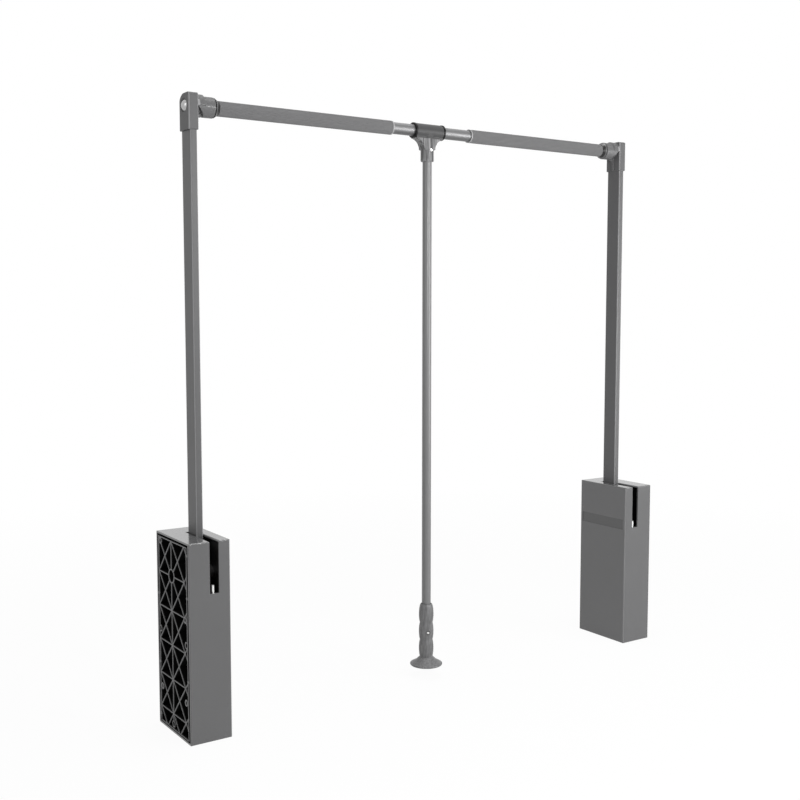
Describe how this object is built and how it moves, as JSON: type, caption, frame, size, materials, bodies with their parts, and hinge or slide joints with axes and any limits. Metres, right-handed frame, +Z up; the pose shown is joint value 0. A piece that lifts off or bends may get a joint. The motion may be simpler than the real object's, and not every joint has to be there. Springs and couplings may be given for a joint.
{
  "type": "pull down closet rod",
  "caption": "Wardrobe rail that swings down on two sprung arms from side housings, with a telescopic bar and a central pull rod.",
  "frame": {"origin": "under the middle of the rail, at mid depth of the housings, level with their bottoms", "axes": "+X along the rail to the right, +Y into the wardrobe, +Z up"},
  "size_m": [0.847, 0.108, 0.8491],
  "materials": {
    "base_plastic": "matt moulded plastic, dark grey",
    "cover_plastic": "matt moulded plastic, grey",
    "connector_plastic": "satin moulded plastic, grey",
    "collar_plastic": "satin moulded plastic, grey",
    "grip_plastic": "moulded plastic with a fine lengthwise grain, grey",
    "black_plastic": "satin black plastic",
    "guide_plastic": "pale grey plastic",
    "arm_paint": "satin powder coat, grey",
    "pull_paint": "satin paint, mid grey",
    "black_paint": "black paint",
    "ribbed_metal": "satin grey on fine lengthwise ribs",
    "bright_metal": "satin bright",
    "nickel": "bright nickel plate",
    "zinc_screw": "zinc plate",
    "steel": "plain steel",
    "spring_steel": "oiled spring steel"
  },
  "bodies": {
    "left_housing": {"left_base": "base_plastic", "left_cover": "cover_plastic", "left_cover_screws": "zinc_screw", "left_stop_block": "base_plastic", "left_stop_screw": "zinc_screw", "left_axle": "steel", "left_strut_cylinder": "black_paint", "left_strut_gland": "black_plastic", "left_spring": "spring_steel"},
    "left_plunger": {"left_strut_rod": "steel", "left_spring_cap": "black_plastic"},
    "left_arm": {"left_arm_tube": "arm_paint", "left_lever": "steel", "left_lever_pins": "steel", "left_axle_bushes": "black_plastic", "left_connector": "connector_plastic", "left_connector_bolt": "nickel", "left_end_plug": "black_plastic", "left_collar": "collar_plastic", "left_outer_tube": "ribbed_metal", "left_guide_ring": "guide_plastic"},
    "right_housing": {"right_base": "base_plastic", "right_cover": "cover_plastic", "right_cover_screws": "zinc_screw", "right_stop_block": "base_plastic", "right_stop_screw": "zinc_screw", "right_axle": "steel", "right_strut_cylinder": "black_paint", "right_strut_gland": "black_plastic", "right_spring": "spring_steel"},
    "right_plunger": {"right_strut_rod": "steel", "right_spring_cap": "black_plastic"},
    "right_arm": {"right_arm_tube": "arm_paint", "right_lever": "steel", "right_lever_pins": "steel", "right_axle_bushes": "black_plastic", "right_connector": "connector_plastic", "right_connector_bolt": "nickel", "right_end_plug": "black_plastic", "right_collar": "collar_plastic", "right_outer_tube": "ribbed_metal", "right_guide_ring": "guide_plastic"},
    "middle_tube": {"middle_tube": "bright_metal", "middle_plugs": "black_plastic"},
    "tee_bushes": {"tee_left_bush": "black_plastic", "tee_right_bush": "black_plastic"},
    "pull_rod": {"tee": "connector_plastic", "tee_screw": "nickel", "pull_tube": "pull_paint", "grip": "grip_plastic", "grip_screw": "nickel", "foot": "grip_plastic"}
  },
  "joints": [
    {"name": "arm_swing", "type": "hinge", "parent": "left_housing", "child": "left_arm", "pos_m": [-0.3875, 0.0045, 0.2145], "axis": [1, 0, 0], "range_deg": [0, 80], "stiffness_Nm_per_rad": 8, "springref_deg": -51.57},
    {"name": "left_extend", "type": "slide", "parent": "left_arm", "child": "middle_tube", "axis": [1, 0, 0], "range_m": [-0.0085, 0.1515]},
    {"name": "right_extend", "type": "slide", "parent": "middle_tube", "child": "right_arm", "axis": [1, 0, 0], "range_m": [-0.0085, 0.1515]},
    {"name": "right_swing", "type": "hinge", "parent": "right_arm", "child": "right_housing", "pos_m": [0.3875, 0.0045, 0.2145], "axis": [1, 0, 0], "range_deg": [-80, 0]},
    {"name": "tee_slide", "type": "slide", "parent": "middle_tube", "child": "tee_bushes", "axis": [1, 0, 0], "range_m": [-0.029, 0.041]},
    {"name": "pull_rod_swivel", "type": "hinge", "parent": "tee_bushes", "child": "pull_rod", "pos_m": [-0.006, 0.0045, 0.8335], "axis": [1, 0, 0], "continuous": true},
    {"name": "left_strut_stroke", "type": "slide", "parent": "left_housing", "child": "left_plunger", "axis": [0, 0, -1], "range_m": [0, 0.0336], "deforming": ["left_spring"]},
    {"name": "right_strut_stroke", "type": "slide", "parent": "right_housing", "child": "right_plunger", "axis": [0, 0, -1], "range_m": [0, 0.0336], "deforming": ["right_spring"]}
  ],
  "couplings": [
    {"joint": "right_swing", "follows": "arm_swing", "ratio": -1},
    {"joint": "left_strut_stroke", "follows": "arm_swing", "m_per_rad": 0.02394},
    {"joint": "right_strut_stroke", "follows": "arm_swing", "m_per_rad": 0.02394}
  ]
}
